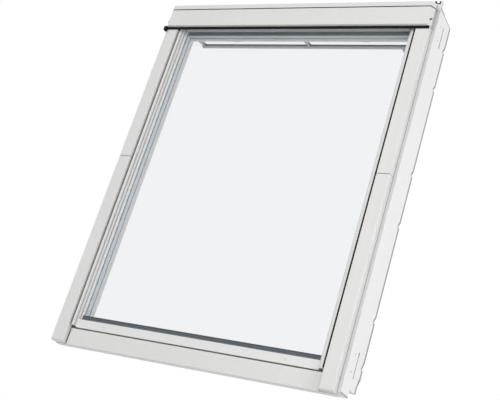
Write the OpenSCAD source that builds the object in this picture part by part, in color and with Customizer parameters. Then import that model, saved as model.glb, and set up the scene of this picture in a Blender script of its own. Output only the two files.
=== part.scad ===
// Centre-pivot roof skylight, drawn upright with its frame and without the roof.
// X runs across, +Y to the room and +Z up the slope. The origin lies on the pivot axis.

/* [Frame] */
// outer width of the frame
frame_w = 780; // [620:10:1000]
// outer height of the frame
frame_h = 978; // [860:2:1180]
// height of the pivot axis above the frame's middle
pivot_up = 20.5; // [0:0.5:40]
// plane of the ledge beside the side covers
ledge_y = 18.5; // [17:0.5:22]
// room side of the frame
frame_back = 105; // [98:1:125]
// thickness of the frame members
jamb_t = 38; // [34:0.5:46]
// radius of the jambs' front outer edge
jamb_r = 1.5; // [1:0.25:3]
// width of the lining rebate
groove_w = 10; // [8:0.5:12]
// depth of the lining rebate
groove_d = 10; // [6:0.5:14]

/* [Covers] */
// sheet thickness of the covers
sheet_t = 1.2; // [0.8:0.1:1.6]
// ledge left bare beside the side covers
ledge_w = 9.4; // [7:0.2:14]
// width of the side covers
cover_w = 35.5; // [32:0.5:36]
// radius of the folds
fold_r = 3; // [2:0.25:4]
// gap at the split of the side covers
split_gap = 1.6; // [0.6:0.1:2]
// how far the hood stands proud of the side covers
hood_proud = 10; // [8:0.5:14]
// height of the hood's front face
hood_h = 50.4; // [46:0.2:54]
// width of the bevel at the hood's ends
bevel_w = 9; // [7:0.5:11]
// depth of the bevel at the hood's ends
bevel_d = 12; // [10:0.5:13]
// open crease between hood and cap strip
crease = 3.2; // [2:0.1:3.6]
// height of the corner posts above the frame
post_h = 22; // [16:0.5:28]

/* [Sash] */
// side gap between frame and sash
sash_gap = 4; // [3.5:0.25:5]
// front of the sash members
sash_front = 16.5; // [15.5:0.5:18]
// room side of the sash members
sash_back = 60; // [58:0.5:66]
// width of the stiles
stile_w = 23.8; // [22:0.2:30]
// height of the top rail
top_rail_h = 31; // [28:0.5:40]
// height of the bottom rail
bottom_rail_h = 28; // [26:0.5:36]
// tread of one step of the glazing covers
step_w = 4.7; // [4:0.1:5]
// riser of one step of the glazing covers
step_d = 6.3; // [6:0.1:6.5]

/* [Glass] */
// thickness of a pane
pane_t = 4; // [3:0.5:4]
// cavity between the panes
cavity = 12; // [10:0.5:12]
// width of the spacer bar
spacer_w = 6.5; // [5:0.5:7.5]

/* [Hinge] */
// mean radius of the hinge track
track_r = 40; // [36:0.5:44]
// radial width of the hinge track
track_w = 7; // [5:0.5:9]
// depth of the hinge track
track_d = 5; // [4:0.25:6]

/* [Control bar] */
// height of the control bar
bar_h = 9; // [7:0.5:10]
// depth of the control bar
bar_d = 12; // [9:0.5:14]
// room side of the control bar
bar_back = 138; // [132:1:150]
// diameter of the flap's round hinge edge
flap_rod = 5; // [4:0.5:6]

/* [Bolt and latch] */
// diameter of the sliding bolt
bolt_dia = 8; // [6:0.5:10]
// travel of the sliding bolt
bolt_travel = 15; // [12:0.5:18]
// largest opening angle of the sash
open_angle = 160; // [150:1:165]
// width of the latch tongue
tongue_w = 24; // [16:1:30]

/* [Clearances] */
// gap around moving round faces
fit = 0.3; // [0.25:0.05:0.5]

/* [Hidden] */
$fn = 48;
frame_mid = -pivot_up;
frame_top = frame_mid + frame_h / 2;
frame_bot = frame_mid - frame_h / 2;
half_w = frame_w / 2;
jamb_in = half_w - jamb_t;
cover_out = half_w - ledge_w;
cover_in = cover_out - cover_w;
head_under = frame_top - jamb_t + 0.5;
sill_top = frame_bot + jamb_t - 1.5;
sill_step = frame_bot + jamb_t - 4.3;
sill_bar = sill_top + 5;
sill_bar_y = sash_back + 4;
rebate_y = 60.6;
rebate_z = frame_bot + 19.5;
nose_out = cover_out - 2.1;
nose_y = 4;
cover_bot = frame_bot - 4.5;
sill_cover_y = 14;
sill_cover_x = cover_in - 4;
sill_cover_top = sill_step + sheet_t;
sill_cover_bot = frame_bot - 5.8;
sill_flange_y = sill_cover_y + 25.5;
cover_floor_y = ledge_y - fit;
end_r = fold_r + 1;

// sash outline and glazing positions
sash_x = jamb_in - sash_gap;
sash_top = head_under - 4;
sash_bot = sill_top + 7.5;
sight_x = sash_x - stile_w;
sight_top = sash_top - top_rail_h;
sight_bot = sash_bot + bottom_rail_h;
step_x = cover_in - 5.6;
step_y = 5.6;
foot_x = step_x - 3 * step_w;
foot_y = step_y + 3 * step_d - 1.2;
glass_y = foot_y + 1.2;
pane_in_y = glass_y + pane_t + cavity;
glass_in = pane_in_y + pane_t;
tape_t = 1.5;
butyl_t = 0.4;
lip_t = 1.2;
seat_y = glass_in + tape_t;
glass_x = sash_x - 14;
glass_top = sash_top - 15;
glass_bot = sash_bot + 13;
reb_gap = 2;
space_x = sight_x - 0.2;
space_top = sight_top - 0.2;
space_bot = sight_bot + 3;
foot_top = sight_top + 8;
strip_y = step_y + step_d;
strip_x = step_x - 2 * step_w - 0.5;
strip_top = sash_bot + 15.4;
strip_bot = sash_bot - 5.6;
side_cov_top = sash_top - 3;
side_cov_bot = sash_bot - 2;

// hood
hood_x = cover_out + 2.4;
hood_bot = head_under - 27.3;
hood_top_z = hood_bot + hood_h;
lip_y = -0.8;
blade_h = 7;
blade_t = 2;
cap_bot = hood_top_z + crease;
cap_top = frame_top + sheet_t;
cap_back = ledge_y + 22;
cap_screw_y = ledge_y + 12;
cap_screws = [-0.7, 0, 0.7] * jamb_in;
upper_cov_top = hood_bot + 14;
hood_screw_z = upper_cov_top + 4.5;
hood_screw_at = 0.68;
hood_screw_l = 22;
hood_head_r = 4.6;
hood_collar_r = 3.8;
hood_collar_l = 4;
slot_w = 2.4;
slot_d = 4.1;
bevel_l = sqrt(bevel_w * bevel_w + bevel_d * bevel_d);
bevel_nx = bevel_d / bevel_l;
bevel_ny = bevel_w / bevel_l;
post_t = 3;
post_in = cover_out - 14;
post_leg = 30;
post_top = frame_top + post_h;
post_screw_y = ledge_y + 0.6 * post_leg;
post_screw_x = (post_in + half_w) / 2;
notch_w = 15;
notch_x = cover_out - 2.8;
notch_z = frame_top + 12.5;
notch_t = 3.4;

// hinge
plate_t = track_d + 1;
plate_r = track_r + track_w / 2 + 6.5;
strap_h = 2 * plate_r + 60;
strap_y0 = 20;
strap_y1 = 44;
hinge_screw_z = plate_r + 17;
lug_r0 = track_r - track_w / 2 + fit;
lug_r1 = track_r + track_w / 2 - fit;
lug_x = jamb_in + track_d - 0.4;
sash_plate_t = 2.5;
shoe_rim = 8;
shoe_front = fold_r;
shoe_back = track_r + 8;
shoe_bot = 0.2 * track_r;
shoe_top = 2 * track_r + 12;
shoe_screw_y = 0.85 * track_r;
shoe_screws = [1.2, 1.95] * track_r;
shoe_screw_r = 1.6;
shoe_head_r = 3.2;

// flap, control bar, latch and bolt
flap_y = sash_back + 4;
flap_z = sight_top + 14;
flap_t = 4;
rail_bevel_d = 4;
rail_bevel_h = 3;
flap_x = sash_x - 1;
flap_top = sash_top - 1;
bar_front = bar_back - bar_d;
bar_top = head_under + 5.5;
bar_bot = bar_top - bar_h;
bar_x = sash_x - 6;
bar_r = bar_h / 3;
cap_l = 6;
arm_w = 6;
arm_z0 = flap_top - 9;
arm_z1 = flap_top - 1;
clip_w = 24;
clip_x = 0.55 * sash_x;
tongue_y0 = sash_back - 12;
tongue_t = 7;
tongue_top = head_under + 10;
tongue_bot = sash_top - 15;
slot_x = tongue_w / 2 + 2;
slot_top = tongue_top + 3;
strike_t = 1.5;
bolt_r = bolt_dia / 2;
bolt_y = sash_back + 7;
bolt_z = sight_top - 16;
bolt_rad = sqrt(bolt_y * bolt_y + bolt_z * bolt_z);
bolt_ang = atan2(bolt_y, bolt_z) + open_angle;
bolt_y2 = bolt_rad * sin(bolt_ang);
bolt_z2 = bolt_rad * cos(bolt_ang);
bolt_tip = sash_x - 1;
bush_r = bolt_r + 3;
bush_l = bolt_travel + 2;

// screw places
bracket_y = 63;
bracket_l = 60;
bracket_top = frame_top - 57.5;
bracket_bot = frame_bot + 74.5;
pilot_y = 44;
pilot_gap = 40;
pilot_r = 2;
pilot_l = 25;
notches = [413, 303, 67, -67, -303, -413] * frame_h / 978;
strip_screw_x = 0.75 * strip_x;
flange_x = cover_in - 1.3;
flange_screws = [0.12, 0.5, 0.9] * cover_bot;
sill_screws = [-0.75, 0, 0.75] * sill_cover_x;

// a section drawn in depth and height, run along X
module along_x(x0, x1) {
  translate([x0, 0, 0]) rotate([90, 0, 90]) linear_extrude(x1 - x0) children();
}

// a section drawn in width and depth, run along Z
module along_z(z0, z1) {
  translate([0, 0, z0]) linear_extrude(z1 - z0) children();
}

module rod_x(x0, x1, y, z, r) {
  translate([x0, y, z]) rotate([0, 90, 0]) cylinder(r = r, h = x1 - x0);
}

module rod_y(x, y0, y1, z, r) {
  translate([x, y0, z]) rotate([-90, 0, 0]) cylinder(r = r, h = y1 - y0);
}

module rod_z(x, y, z0, z1, r) {
  translate([x, y, z0]) cylinder(r = r, h = z1 - z0);
}

module box(x0, x1, y0, y1, z0, z1) {
  translate([x0, y0, z0]) cube([x1 - x0, y1 - y0, z1 - z0]);
}

module rect(a0, a1, b0, b1) {
  translate([a0, b0]) square([a1 - a0, b1 - b0]);
}

module flip() {
  mirror([1, 0, 0]) children();
}

// outline of a folded channel with rounded front corners
module channel_2d(x0, x1, y0, y1, r) {
  rect(x0, x1, y0 + r, y1);
  rect(x0 + r, x1 - r, y0, y0 + r);
  translate([x0 + r, y0 + r]) circle(r);
  translate([x1 - r, y0 + r]) circle(r);
}

// jamb: bar with nose, lining rebate, hinge mortise, notches and bracket slots
module jamb(with_bolt) {
  difference() {
    union() {
      along_z(frame_bot, frame_top) {
        rect(jamb_in, half_w, ledge_y + jamb_r, frame_back);
        rect(jamb_in, half_w - jamb_r, ledge_y, frame_back);
        translate([half_w - jamb_r, ledge_y + jamb_r]) circle(jamb_r);
      }
      box(jamb_in, nose_out, nose_y, ledge_y, frame_bot, frame_top);
      box(jamb_in, cover_out - fold_r, sheet_t, nose_y, plate_r + 4, upper_cov_top);
    }
    box(jamb_in - 1, jamb_in + groove_w, frame_back - groove_d, frame_back + 1,
      sill_bar - groove_w, head_under + groove_w);
    along_x(jamb_in - 1, half_w + 1) polygon([[rebate_y, frame_bot - 1],
      [frame_back + 1, frame_bot - 1], [frame_back + 1, frame_bot + 56],
      [frame_back - 8, frame_bot + 37], [frame_back - 8, rebate_z], [rebate_y, rebate_z]]);
    for (n = notches) along_x(half_w - 12, half_w + 1) polygon([
      [frame_back + 1, frame_mid + n], [frame_back - 9, frame_mid + n],
      [frame_back + 1, frame_mid + n + 16]]);
    for (z = [bracket_top, bracket_bot]) {
      box(half_w - 8, half_w + 1, bracket_y - 2, bracket_y + 2, z - bracket_l / 2,
        z + bracket_l / 2);
      for (k = [-0.5, 0.5]) rod_x(half_w - pilot_l, half_w + 1, pilot_y, z + k * pilot_gap,
        pilot_r);
    }
    rod_x(jamb_in - 1, jamb_in + plate_t, 0, 0, plate_r + fit);
    box(jamb_in - 1, jamb_in + plate_t, strap_y0 - 0.2, strap_y1 + 0.2, -strap_h / 2 - 0.2,
      strap_h / 2 + 0.2);
    for (s = [-1, 1]) rod_x(jamb_in, jamb_in + 24, (strap_y0 + strap_y1) / 2,
      s * hinge_screw_z, 2 + fit);
    hood_screw_axis() translate([0, 0, -hood_screw_l - 2]) cylinder(r = 2 + fit, h = hood_screw_l);
    rod_z(post_screw_x, post_screw_y, frame_top - 16, frame_top + 1, 1.8 + fit);
    rod_y((cover_in + cover_out) / 2, 0, 16, upper_cov_top - 5.5, 1.8 + fit);
    if (with_bolt) {
      rod_x(jamb_in - 1, jamb_in + bush_l, bolt_y, bolt_z, bush_r + fit);
      rod_x(jamb_in - 1, jamb_in + bush_l, bolt_y2, bolt_z2, bush_r + fit);
    }
  }
}

module frame_jamb_right() {
  color("#ecece8") jamb(true);
}

module frame_jamb_left() {
  color("#ecece8") flip() jamb(false);
}

module frame_head() {
  color("#ecece8") difference() {
    along_x(-jamb_in, jamb_in) difference() {
      union() {
        rect(ledge_y, frame_back, head_under, frame_top);
        rect(nose_y, ledge_y, head_under + 5, frame_top);
      }
      rect(frame_back - groove_d, frame_back + 1, head_under - 1, head_under + groove_w);
    }
    box(-slot_x, slot_x, tongue_y0 - 4, frame_back + 1, head_under - 1, slot_top);
    for (x = cap_screws) rod_z(x, cap_screw_y, frame_top - 16, frame_top + 1, 1.8 + fit);
  }
}

module frame_sill() {
  color("#ecece8") difference() {
    along_x(-jamb_in, jamb_in) difference() {
      polygon([[ledge_y, frame_bot], [rebate_y, frame_bot], [rebate_y, rebate_z],
        [frame_back, rebate_z], [frame_back, sill_bar], [sill_bar_y, sill_bar],
        [sill_bar_y, sill_top], [ledge_y + 16, sill_top], [ledge_y + 16, sill_step],
        [ledge_y, sill_step]]);
      rect(frame_back - groove_d, frame_back + 1, sill_bar - groove_w, sill_bar + 1);
    }
    for (x = sill_screws) rod_z(x, ledge_y + 7, sill_step - 18, sill_step + 1, 1.8 + fit);
  }
}

// hinge track: half disc with a groove round the pivot axis, and a strap for the screws
module hinge_track() {
  difference() {
    union() {
      intersection() {
        rod_x(jamb_in, jamb_in + plate_t, 0, 0, plate_r);
        box(jamb_in - 1, half_w, nose_y, frame_back, -plate_r - 1, plate_r + 1);
      }
      box(jamb_in, jamb_in + plate_t, strap_y0, strap_y1, -strap_h / 2, strap_h / 2);
    }
    difference() {
      rod_x(jamb_in - 1, jamb_in + track_d, 0, 0, track_r + track_w / 2);
      rod_x(jamb_in - 2, jamb_in + track_d + 1, 0, 0, track_r - track_w / 2);
    }
    for (s = [-1, 1]) {
      rod_x(jamb_in - 1, jamb_in + 3, (strap_y0 + strap_y1) / 2, s * hinge_screw_z, 4 + fit);
      rod_x(jamb_in, jamb_in + plate_t + 1, (strap_y0 + strap_y1) / 2, s * hinge_screw_z,
        2 + fit);
    }
  }
}

module hinge_track_right() {
  color("#b9bcbf") hinge_track();
}

module hinge_track_left() {
  color("#b9bcbf") flip() hinge_track();
}

module hinge_track_screws() {
  color("#c9cacc") for (m = [0, 1], s = [-1, 1]) mirror([m, 0, 0]) {
    rod_x(jamb_in + 0.4, jamb_in + 3, (strap_y0 + strap_y1) / 2, s * hinge_screw_z, 4);
    rod_x(jamb_in + 2, jamb_in + 22, (strap_y0 + strap_y1) / 2, s * hinge_screw_z, 2);
  }
}

// section of a side cover: front face, long outer skirt and shorter inner skirt
module cover_2d(inner_y) {
  difference() {
    channel_2d(cover_in, cover_out, 0, cover_floor_y, fold_r);
    channel_2d(cover_in + sheet_t, cover_out - sheet_t, sheet_t, cover_floor_y + 5,
      fold_r - sheet_t);
    rect(cover_in - 1, cover_in + 10, inner_y, cover_floor_y + 5);
  }
}

module upper_cover() {
  difference() {
    along_z(split_gap / 2, upper_cov_top) cover_2d(ledge_y - 4);
    rod_y((cover_in + cover_out) / 2, -1, 4, upper_cov_top - 5.5, 1.8 + fit);
  }
}

module upper_cover_right() {
  color("#dfdfdc") upper_cover();
}

module upper_cover_left() {
  color("#dfdfdc") flip() upper_cover();
}

module upper_cover_screws() {
  color("#c9cacc") for (m = [0, 1]) mirror([m, 0, 0]) {
    rod_y((cover_in + cover_out) / 2, -2, 0, upper_cov_top - 5.5, 3.6);
    rod_y((cover_in + cover_out) / 2, -1, 14, upper_cov_top - 5.5, 1.8);
  }
}

// depth and height of the lower side cover with its rounded lower edge, inset by t
module lower_end_2d(t) {
  rect(t, ledge_y, cover_bot + end_r, -split_gap / 2);
  rect(end_r, ledge_y, cover_bot + t, -split_gap / 2);
  translate([end_r, cover_bot + end_r]) circle(end_r - t);
}

// lower side cover: closed at its end, with a flange screwed to the stile
module lower_cover() {
  difference() {
    union() {
      difference() {
        intersection() {
          along_z(cover_bot, -split_gap / 2)
            channel_2d(cover_in, cover_out, 0, cover_floor_y, fold_r);
          along_x(cover_in, cover_out) lower_end_2d(0);
        }
        intersection() {
          along_z(cover_bot, 1) channel_2d(cover_in + sheet_t, cover_out - sheet_t, sheet_t,
            ledge_y, fold_r - sheet_t);
          along_x(cover_in, cover_out) lower_end_2d(sheet_t);
        }
      }
      along_z(sash_bot, -split_gap / 2)
        rect(cover_in - 3, cover_in + sheet_t, sash_front - sheet_t, sash_front);
    }
    box(cover_in - 5, cover_in + 10, sash_front, ledge_y, cover_bot - 1, 1);
    for (z = flange_screws) rod_y(flange_x, 0, 20, z, 0.8 + fit);
    rod_x(cover_out - 3, cover_out + 1, cover_floor_y - 4, cover_bot + 34, 1.5);
  }
}

module lower_cover_right() {
  color("#dfdfdc") lower_cover();
}

module lower_cover_left() {
  color("#dfdfdc") flip() lower_cover();
}

module lower_cover_screws() {
  color("#c9cacc") for (m = [0, 1], z = flange_screws) mirror([m, 0, 0]) {
    rod_y(flange_x, sash_front - sheet_t - 1, sash_front - sheet_t, z, 1.2);
    rod_y(flange_x, sash_front - sheet_t - 0.5, sash_front + 8, z, 0.8);
  }
}

// axis of the slotted screw in the bevelled end of the hood, from the bevel's face
module hood_screw_axis() {
  translate([hood_x - bevel_w * (1 - hood_screw_at), bevel_d * hood_screw_at - hood_proud,
    hood_screw_z]) rotate([0, 90, -atan2(bevel_w, bevel_d)]) children();
}

// outline of the hood in plan with bevelled ends, inset by t
module hood_2d(t) {
  end_x = hood_x - t;
  bevel_y = bevel_d - hood_proud + t * (1 - bevel_nx) / bevel_ny;
  front_x = hood_x - bevel_w - t * (1 - bevel_ny) / bevel_nx;
  polygon([[-end_x, ledge_y], [-end_x, bevel_y], [-front_x, t - hood_proud],
    [front_x, t - hood_proud], [end_x, bevel_y], [end_x, ledge_y]]);
}

// hood: folded front with bevelled ends and a return lip below
module hood() {
  color("#dcdcd9") difference() {
    union() {
      along_z(hood_bot, hood_top_z) difference() {
        hood_2d(0);
        hood_2d(sheet_t);
        rect(-half_w, half_w, cover_floor_y, ledge_y + 1);
      }
      along_z(hood_bot, hood_bot + sheet_t) intersection() {
        hood_2d(0);
        rect(-hood_x, hood_x, -hood_proud, lip_y);
      }
    }
    for (m = [0, 1]) mirror([m, 0, 0]) hood_screw_axis()
      translate([0, 0, -sheet_t - 2]) cylinder(r = hood_collar_r + fit, h = sheet_t + 3);
  }
}

// cap strip above the hood: same front and ends, closed on top and screwed to the head
module hood_cap() {
  color("#dcdcd9") difference() {
    union() {
      along_z(cap_bot, cap_top) hood_2d(0);
      box(-post_in + 1, post_in - 1, ledge_y - 1, cap_back, frame_top, cap_top);
    }
    along_z(cap_bot - 1, frame_top) hood_2d(sheet_t);
    box(-half_w, half_w, cover_floor_y, ledge_y + 1, cap_bot - 1, frame_top);
    for (x = cap_screws) rod_z(x, cap_screw_y, frame_top - 1, cap_top + 1, 1.8 + fit);
  }
}

// blade under the hood's lip, and the strip that closes the crease from inside
module hood_gasket() {
  color("#1c1d1f") {
    box(-hood_x + 3, hood_x - 3, lip_y + 0.6 - blade_t, lip_y + 0.6,
      hood_bot - blade_h, hood_bot);
    along_z(hood_top_z - 4, cap_bot - 0.2) difference() {
      hood_2d(sheet_t);
      hood_2d(sheet_t + 2);
      rect(-half_w, half_w, cover_floor_y, ledge_y + 1);
    }
  }
}

module hood_screws() {
  color("#c9cacc") {
    for (m = [0, 1]) mirror([m, 0, 0]) hood_screw_axis() difference() {
      union() {
        cylinder(r = hood_head_r, h = 1.6);
        translate([0, 0, -hood_collar_l]) cylinder(r = hood_collar_r, h = hood_collar_l + 1);
        translate([0, 0, -hood_screw_l]) cylinder(r = 2, h = hood_screw_l);
      }
      rotate([0, 0, 40]) translate([-slot_w / 2, -hood_head_r - 1, 1.6 - slot_d])
        cube([slot_w, 2 * hood_head_r + 2, slot_d + 1]);
    }
    for (x = cap_screws) {
      rod_z(x, cap_screw_y, cap_top, cap_top + 1.6, 3.6);
      rod_z(x, cap_screw_y, frame_top - 14, cap_top + 1, 1.8);
    }
    for (s = [-1, 1]) {
      rod_z(s * post_screw_x, post_screw_y, frame_top + post_t, frame_top + post_t + 1.6, 3.6);
      rod_z(s * post_screw_x, post_screw_y, frame_top - 14, frame_top + post_t + 1, 1.8);
    }
  }
}

// upright angles on the tops of the jambs, each notched at its upper edge
module corner_posts() {
  color("#e4e4e1") for (m = [0, 1]) mirror([m, 0, 0]) difference() {
    along_x(post_in, half_w) union() {
      rect(ledge_y, ledge_y + post_t, frame_top, post_top);
      rect(ledge_y, ledge_y + post_leg, frame_top, frame_top + post_t);
    }
    box(notch_x - notch_w / 2, notch_x + notch_w / 2, ledge_y - 1, ledge_y + post_t + 1,
      notch_z, post_top + 1);
    rod_z(post_screw_x, post_screw_y, frame_top - 1, frame_top + post_t + 1, 1.8 + fit);
  }
}

// U-shaped edging in the notches of the corner posts
module notch_gaskets() {
  color("#1c1d1f") for (m = [0, 1]) mirror([m, 0, 0]) difference() {
    box(notch_x - notch_w / 2, notch_x + notch_w / 2, ledge_y, ledge_y + post_t, notch_z, post_top);
    box(notch_x - notch_w / 2 + notch_t, notch_x + notch_w / 2 - notch_t, ledge_y - 1,
      ledge_y + post_t + 1, notch_z + notch_t, post_top + 1);
  }
}

module sill_cover() {
  color("#dfdfdc") difference() {
    union() {
      along_x(-sill_cover_x, sill_cover_x) union() {
        rect(sill_cover_y, sill_cover_y + sheet_t, sill_cover_bot, sill_cover_top);
        rect(sill_cover_y, ledge_y + 15.5, sill_step, sill_cover_top);
        rect(sill_cover_y, ledge_y + 2, sill_cover_bot, sill_cover_bot + sheet_t);
      }
      box(-nose_out, nose_out, ledge_y + 1, sill_flange_y, sill_cover_bot,
        sill_cover_bot + sheet_t);
    }
    for (x = sill_screws) rod_z(x, ledge_y + 7, sill_step - 1, sill_cover_top + 1, 1.8 + fit);
  }
}

// dark foam in the gaps between sill cover and side covers
module sill_end_seals() {
  color("#1c1d1f") for (s = [-1, 1]) box(min(s * sill_cover_x, s * (cover_in - 2 * fit)),
    max(s * sill_cover_x, s * (cover_in - 2 * fit)), sill_cover_y + 2, ledge_y, frame_bot,
    sill_step);
}

module sill_cover_screws() {
  color("#c9cacc") for (x = sill_screws) {
    rod_z(x, ledge_y + 7, sill_cover_top, sill_cover_top + 1.2, 3.4);
    rod_z(x, ledge_y + 7, sill_step - 16, sill_cover_top + 0.6, 1.8);
  }
}

// striker: bent strip lining the latch slot in the head, open to the room
module striker_plate() {
  color("#b9bcbf") difference() {
    box(-slot_x, slot_x, tongue_y0 - 4, frame_back - groove_d - 2, head_under, slot_top);
    box(-slot_x + strike_t, slot_x - strike_t, tongue_y0 - 4 + strike_t, frame_back + 1,
      head_under - 1, slot_top - strike_t);
  }
}

module bolt_bush(y, z) {
  difference() {
    rod_x(jamb_in - 0.5, jamb_in + bush_l, y, z, bush_r);
    rod_x(jamb_in - 2, jamb_in + bush_l - 1.5, y, z, bolt_r + 2 * fit);
  }
}

module bolt_bush_upper() {
  color("#d9d9d6") bolt_bush(bolt_y, bolt_z);
}

module bolt_bush_lower() {
  color("#d9d9d6") bolt_bush(bolt_y2, bolt_z2);
}

// stile: full bar with the glass rebate cut between the rails
module stile() {
  difference() {
    box(sight_x, sash_x, sash_front, sash_back, sash_bot, sash_top);
    box(sight_x - 1, glass_x + reb_gap, sash_front - 1, seat_y, glass_bot - reb_gap,
      glass_top + reb_gap);
    for (z = flange_screws) rod_y(flange_x, sash_front - 1, sash_front + 10, z, 0.8 + fit);
    for (z = shoe_screws) rod_x(sash_x - 11, sash_x + 1, shoe_screw_y, z, shoe_screw_r + fit);
  }
}

module sash_stile_right() {
  color("#ecece8") stile();
}

module sash_stile_left() {
  color("#ecece8") flip() stile();
}

module sash_top_rail() {
  color("#ecece8") difference() {
    box(-sight_x, sight_x, sash_front, sash_back, sight_top, sash_top);
    box(-sight_x - 1, sight_x + 1, sash_front - 1, seat_y, sight_top - 1, glass_top + reb_gap);
    box(-tongue_w / 2 - fit, tongue_w / 2 + fit, tongue_y0 - fit, tongue_y0 + tongue_t + fit,
      tongue_bot - 13, sash_top + 1);
    along_x(-sight_x - 1, sight_x + 1) polygon([[sash_back - rail_bevel_d, sight_top],
      [sash_back, sight_top + rail_bevel_h], [sash_back + 1, sight_top + rail_bevel_h],
      [sash_back + 1, sight_top - 1], [sash_back - rail_bevel_d, sight_top - 1]]);
  }
}

module sash_bottom_rail() {
  color("#ecece8") difference() {
    box(-sight_x, sight_x, sash_front, sash_back, sash_bot, sight_bot);
    box(-sight_x - 1, sight_x + 1, sash_front - 1, seat_y, glass_bot - reb_gap, sight_bot + 1);
    for (s = [-1, 1]) rod_y(s * strip_screw_x, sash_front - 1, sash_front + 14,
      sash_bot + 5, 1.8 + fit);
  }
}

module outer_pane() {
  color("#cfe0e6", 0.35) box(-glass_x, glass_x, glass_y, glass_y + pane_t, glass_bot, glass_top);
}

module inner_pane() {
  color("#cfe0e6", 0.35) box(-glass_x, glass_x, pane_in_y, glass_in, glass_bot, glass_top);
}

module spacer_bar() {
  color("#4a4e52") difference() {
    box(-space_x - spacer_w, space_x + spacer_w, glass_y + pane_t + butyl_t, pane_in_y,
      space_bot - spacer_w, space_top + spacer_w);
    box(-space_x, space_x, glass_y, glass_in, space_bot, space_top);
  }
}

// dark seal round the spacer, with a thin bead between spacer and outer pane
module edge_seal() {
  color("#1f2022") difference() {
    box(-glass_x + 0.5, glass_x - 0.5, glass_y + pane_t, pane_in_y, glass_bot + 0.5,
      glass_top - 0.5);
    box(-space_x, space_x, glass_y, glass_in, space_bot, space_top);
    box(-space_x - spacer_w, space_x + spacer_w, glass_y + pane_t + butyl_t, pane_in_y,
      space_bot - spacer_w, space_top + spacer_w);
  }
}

module glazing_tape() {
  color("#b4b8ba") difference() {
    box(-glass_x, glass_x, glass_in, seat_y, glass_bot, glass_top);
    box(-sight_x, sight_x, glass_in - 1, seat_y + 1, sight_bot, sight_top);
  }
}

// flat gasket between the glass and the feet of the glazing covers
module glazing_gasket() {
  color("#26272a") difference() {
    box(-foot_x - 6, foot_x + 6, foot_y, glass_y, strip_top + 2.5, foot_top + 6);
    box(-foot_x, foot_x, foot_y - 1, glass_y + 1, strip_top - 1, foot_top);
  }
}

// two-ribbed weather strip on the glass above the bottom cover
module sill_strip_gasket() {
  color("#3a3f45") along_x(-foot_x + 0.4, foot_x - 0.4) difference() {
    rect(foot_y - 3.2, glass_y, strip_top + 0.3, strip_top + 13.5);
    rect(foot_y - 4, foot_y - 1.8, strip_top + 5.8, strip_top + 7.6);
  }
}

// section of the stepped glazing cover beside the glass
module steps_2d(t) {
  difference() {
    union() {
      rect(step_x - step_w, step_x, step_y, sash_front);
      rect(step_x - 2 * step_w, step_x, step_y + step_d, step_y + 2 * step_d + t);
      rect(foot_x, step_x, step_y + 2 * step_d, foot_y);
    }
    rect(step_x - step_w + t, step_x - t, step_y + t, foot_y + 5);
    rect(step_x - 2 * step_w + t, step_x - t, step_y + step_d + t, foot_y + 5);
    rect(foot_x + t, step_x - t, step_y + 2 * step_d + t, foot_y + 5);
    rect(glass_x + 1, step_x + 1, sash_front, foot_y + 5);
  }
}

// stepped cover: its foot is cut short at both ends to pass the solid ends of the stile
module glazing_cover() {
  along_z(side_cov_bot, side_cov_top) intersection() {
    steps_2d(1.4);
    rect(foot_x, step_x, step_y, sash_front);
  }
  along_z(glass_bot - reb_gap + fit, glass_top + reb_gap - fit) steps_2d(1.4);
}

module glazing_cover_right() {
  color("#dfdfdc") glazing_cover();
}

module glazing_cover_left() {
  color("#dfdfdc") flip() glazing_cover();
}

module glazing_cover_top() {
  color("#dfdfdc") along_x(-foot_x + 0.3, foot_x - 0.3) union() {
    rect(strip_y, strip_y + 1.4, foot_top, side_cov_top);
    rect(strip_y, foot_y, foot_top, foot_top + 1.4);
    rect(strip_y, sash_front, side_cov_top - 1.4, side_cov_top);
  }
}

module glazing_cover_bottom() {
  color("#dfdfdc") difference() {
    union() {
      along_x(-strip_x, strip_x) union() {
        rect(strip_y, strip_y + 1.4, strip_bot, strip_top);
        rect(strip_y, sash_front + 1, strip_bot, strip_bot + 1.4);
      }
      along_x(-foot_x + 0.4, foot_x - 0.4) rect(strip_y, foot_y, strip_top - 1.4, strip_top);
      for (s = [-1, 1]) rod_y(s * strip_screw_x, strip_y + 1, sash_front, sash_bot + 5, 4.5);
    }
    for (s = [-1, 1]) rod_y(s * strip_screw_x, strip_y - 1, sash_front + 1, sash_bot + 5,
      1.8 + fit);
  }
}

module glazing_cover_screws() {
  color("#8d8f92") for (s = [-1, 1]) {
    rod_y(s * strip_screw_x, strip_y - 1, strip_y, sash_bot + 5, 3);
    rod_y(s * strip_screw_x, strip_y - 0.5, sash_front + 12, sash_bot + 5, 1.8);
  }
}

module sash_gasket_right() {
  color("#1c1d1f") box(step_x, step_x + lip_t, step_y + 1.2, sash_front, sash_bot, side_cov_top);
}

module sash_gasket_left() {
  color("#1c1d1f") flip() box(step_x, step_x + lip_t, step_y + 1.2, sash_front, sash_bot,
    side_cov_top);
}

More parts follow.
